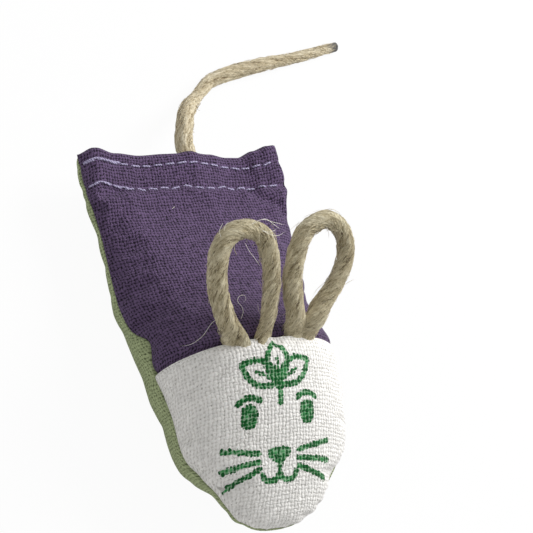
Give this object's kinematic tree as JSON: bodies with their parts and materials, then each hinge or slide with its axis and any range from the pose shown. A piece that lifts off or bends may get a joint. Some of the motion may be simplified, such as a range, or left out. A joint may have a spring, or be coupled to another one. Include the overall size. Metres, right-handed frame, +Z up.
{
  "type": "catnip mouse",
  "caption": "Small stuffed cloth mouse toy filled with wadding and catnip, with a canvas back, face and belly, jute rope loop ears and a jute rope tail sewn into its seams.",
  "frame": {"origin": "under the middle of the body, nose to hem and side to side, on the surface that the belly rests on", "axes": "+X to the right when the mouse is looked at face on, +Y from the nose to the tail, +Z up"},
  "size_m": [0.0902, 0.1312, 0.0492],
  "materials": {
    "purple_canvas": "coarse plain-weave cotton canvas, matt",
    "white_canvas": "coarse plain-weave cotton canvas with a green screen print, matt",
    "green_canvas": "coarse plain-weave cotton canvas, matt",
    "jute_rope": "hairy twisted jute, matt",
    "lilac_thread": "polyester sewing thread, slight sheen",
    "seam_thread": "polyester sewing thread, slight sheen",
    "wadding": "polyester fibre fill",
    "dried_herb": "crushed dried catnip leaf"
  },
  "bodies": {
    "pouch": {"back_panel": "purple_canvas", "face_panel": "white_canvas", "belly_panel": "green_canvas", "ear_left_end_outer": "jute_rope", "ear_left_end_inner": "jute_rope", "ear_right_end_inner": "jute_rope", "ear_right_end_outer": "jute_rope", "tail_end": "jute_rope", "hem_thread_outer": "lilac_thread", "hem_thread_inner": "lilac_thread", "side_seam_thread": "seam_thread", "face_seam_thread": "seam_thread", "stuffing_nose": "wadding", "catnip_fill": "dried_herb", "stuffing_rear": "wadding"},
    "ear_left": {"ear_left": "jute_rope"},
    "ear_right": {"ear_right": "jute_rope"},
    "tail": {"tail": "jute_rope"}
  },
  "joints": [
    {"name": "ear_left_fold", "type": "hinge", "parent": "pouch", "child": "ear_left", "pos_m": [-0.00803, -0.00705, 0.03435], "axis": [1, 0, 0], "range_deg": [-30, 80], "stiffness_Nm_per_rad": 0.004},
    {"name": "ear_right_fold", "type": "hinge", "parent": "pouch", "child": "ear_right", "pos_m": [0.00607, -0.00705, 0.03447], "axis": [1, 0, 0], "range_deg": [-30, 80], "stiffness_Nm_per_rad": 0.004},
    {"name": "tail_swing", "type": "hinge", "parent": "pouch", "child": "tail", "pos_m": [0.002, 0.0503, 0.011], "axis": [0, 0, 1], "range_deg": [-45, 60]}
  ]
}
